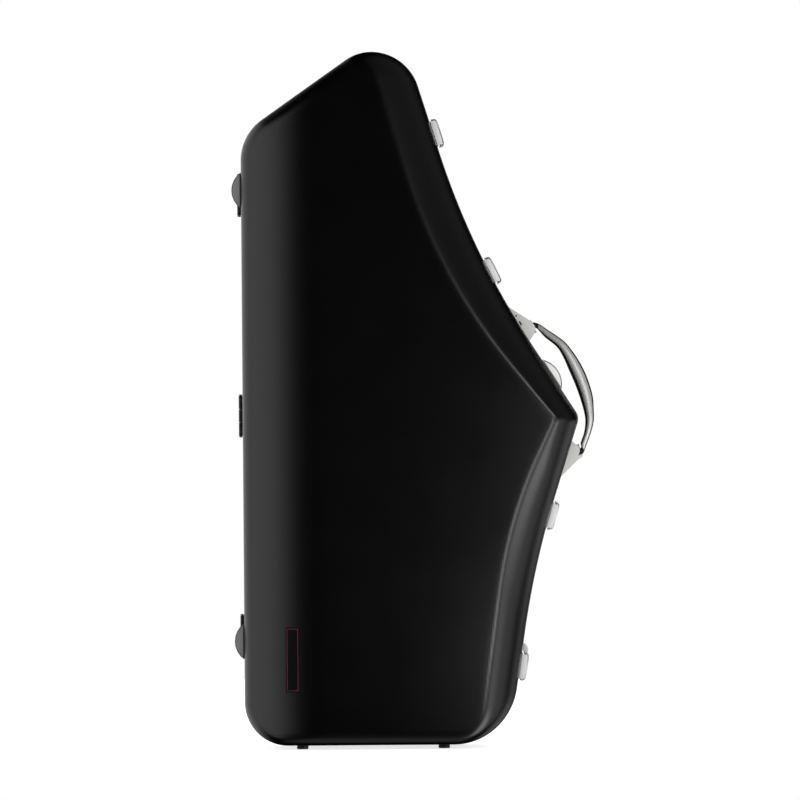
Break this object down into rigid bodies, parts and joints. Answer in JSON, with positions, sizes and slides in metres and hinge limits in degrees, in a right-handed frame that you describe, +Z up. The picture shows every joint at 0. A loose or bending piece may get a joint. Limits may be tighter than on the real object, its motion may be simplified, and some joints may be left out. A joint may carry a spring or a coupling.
{
  "type": "double saxophone case",
  "caption": "Tall moulded case that opens like a book on a spine of hinges, with fitted recesses for an alto and a soprano saxophone, draw latches and an arched handle.",
  "frame": {"origin": "middle of the bounding box's underside, at the soles of the feet", "axes": "+Z up the spine, +X from the hinged spine towards the handle side, -Y out of the lid's flat panel"},
  "size_m": [0.409, 0.1982, 0.7864],
  "materials": {
    "black_moulded_shell": "satin black moulded shell",
    "black_rim": "plain black rim profile",
    "black_steel": "black coated steel",
    "dark_rubber": "soft black rubber",
    "grey_bumper": "mid-grey rubber",
    "grey_grip": "grey moulded grip",
    "light_grey_plastic": "light grey moulded plastic",
    "lining_plush": "dark plush over foam",
    "satin_steel": "satin plated steel",
    "strap_webbing": "black webbing"
  },
  "bodies": {
    "base": {"base_shell": "black_moulded_shell", "base_rim": "black_rim", "rim_seal": "dark_rubber", "base_bed": "lining_plush", "alto_strap": "strap_webbing", "soprano_strap": "strap_webbing", "lower_hinge_base_leaf": "black_steel", "middle_hinge_base_leaf": "black_steel", "upper_hinge_base_leaf": "black_steel", "lower_hinge_pin": "black_steel", "middle_hinge_pin": "black_steel", "upper_hinge_pin": "black_steel", "latch_1_plate": "satin_steel", "latch_2_plate": "satin_steel", "latch_3_plate": "satin_steel", "latch_4_plate": "satin_steel", "upper_handle_bracket": "light_grey_plastic", "lower_handle_bracket": "light_grey_plastic", "upper_handle_pin": "satin_steel", "lower_handle_pin": "satin_steel", "lower_base_bumper": "grey_bumper", "upper_base_bumper": "grey_bumper", "grip_rest": "light_grey_plastic", "inner_base_foot": "dark_rubber", "outer_base_foot": "dark_rubber", "strap_anchor_1": "black_rim", "strap_anchor_2": "black_rim", "strap_anchor_3": "black_rim"},
    "lid": {"lid_shell": "black_moulded_shell", "lid_rim": "black_rim", "lid_pad": "lining_plush", "lower_hinge_lid_leaf": "black_steel", "middle_hinge_lid_leaf": "black_steel", "upper_hinge_lid_leaf": "black_steel", "latch_1_keeper": "satin_steel", "latch_2_keeper": "satin_steel", "latch_3_keeper": "satin_steel", "latch_4_keeper": "satin_steel", "latch_1_cap": "light_grey_plastic", "lower_lid_bumper": "grey_bumper", "upper_lid_bumper": "grey_bumper", "inner_lid_foot": "dark_rubber", "outer_lid_foot": "dark_rubber"},
    "lever_1": {"latch_1_lever": "satin_steel"},
    "hook_1": {"latch_1_hook": "satin_steel"},
    "lever_2": {"latch_2_lever": "satin_steel"},
    "hook_2": {"latch_2_hook": "satin_steel"},
    "lever_3": {"latch_3_lever": "satin_steel"},
    "hook_3": {"latch_3_hook": "satin_steel"},
    "lever_4": {"latch_4_lever": "satin_steel"},
    "hook_4": {"latch_4_hook": "satin_steel"},
    "handle": {"handle_grip": "grey_grip"},
    "ring_1": {"d_ring_1": "satin_steel"},
    "ring_2": {"d_ring_2": "satin_steel"},
    "ring_3": {"d_ring_3": "satin_steel"}
  },
  "joints": [
    {"name": "lid_open", "type": "hinge", "parent": "base", "child": "lid", "pos_m": [-0.19627, -0.00705, 0.377], "axis": [0, 0, -1], "range_deg": [0, 110]},
    {"name": "latch_1_lift", "type": "hinge", "parent": "base", "child": "lever_1", "pos_m": [0.12328, 0.00345, 0.09024], "axis": [-0.1462, 0, -0.9893], "range_deg": [0, 120]},
    {"name": "latch_1_hook_turn", "type": "hinge", "parent": "lever_1", "child": "hook_1", "pos_m": [0.12249, 0.01295, 0.09036], "axis": [-0.1462, 0, -0.9893], "range_deg": [-120, 0]},
    {"name": "latch_2_lift", "type": "hinge", "parent": "base", "child": "lever_2", "pos_m": [0.15771, 0.00345, 0.26055], "axis": [-0.2788, 0, -0.9604], "range_deg": [0, 120]},
    {"name": "latch_2_hook_turn", "type": "hinge", "parent": "lever_2", "child": "hook_2", "pos_m": [0.15694, 0.01295, 0.26077], "axis": [-0.2788, 0, -0.9604], "range_deg": [-120, 0]},
    {"name": "latch_3_lift", "type": "hinge", "parent": "base", "child": "lever_3", "pos_m": [0.09135, 0.00345, 0.54035], "axis": [0.4524, 0, -0.8918], "range_deg": [0, 120]},
    {"name": "latch_3_hook_turn", "type": "hinge", "parent": "lever_3", "child": "hook_3", "pos_m": [0.09063, 0.01295, 0.53999], "axis": [0.4524, 0, -0.8918], "range_deg": [-120, 0]},
    {"name": "latch_4_lift", "type": "hinge", "parent": "base", "child": "lever_4", "pos_m": [0.0295, 0.00345, 0.69656], "axis": [0.3008, 0, -0.9537], "range_deg": [0, 120]},
    {"name": "latch_4_hook_turn", "type": "hinge", "parent": "lever_4", "child": "hook_4", "pos_m": [0.02873, 0.01295, 0.69632], "axis": [0.3008, 0, -0.9537], "range_deg": [-120, 0]},
    {"name": "handle_swing", "type": "hinge", "parent": "base", "child": "handle", "pos_m": [0.15988, 0.02095, 0.40428], "axis": [-0.3463, 0, 0.9381], "range_deg": [-22, 22]},
    {"name": "d_ring_1_swing", "type": "hinge", "parent": "base", "child": "ring_1", "pos_m": [-0.05357, 0.09555, 0.695], "axis": [1, 0, 0], "range_deg": [0, 150]},
    {"name": "d_ring_2_swing", "type": "hinge", "parent": "base", "child": "ring_2", "pos_m": [-0.07857, 0.09555, 0.115], "axis": [1, 0, 0], "range_deg": [0, 150]},
    {"name": "d_ring_3_swing", "type": "hinge", "parent": "base", "child": "ring_3", "pos_m": [0.04143, 0.09555, 0.115], "axis": [1, 0, 0], "range_deg": [0, 150]}
  ],
  "couplings": [
    {"joint": "latch_1_hook_turn", "follows": "latch_1_lift", "ratio": -1},
    {"joint": "latch_2_hook_turn", "follows": "latch_2_lift", "ratio": -1},
    {"joint": "latch_3_hook_turn", "follows": "latch_3_lift", "ratio": -1},
    {"joint": "latch_4_hook_turn", "follows": "latch_4_lift", "ratio": -1}
  ]
}
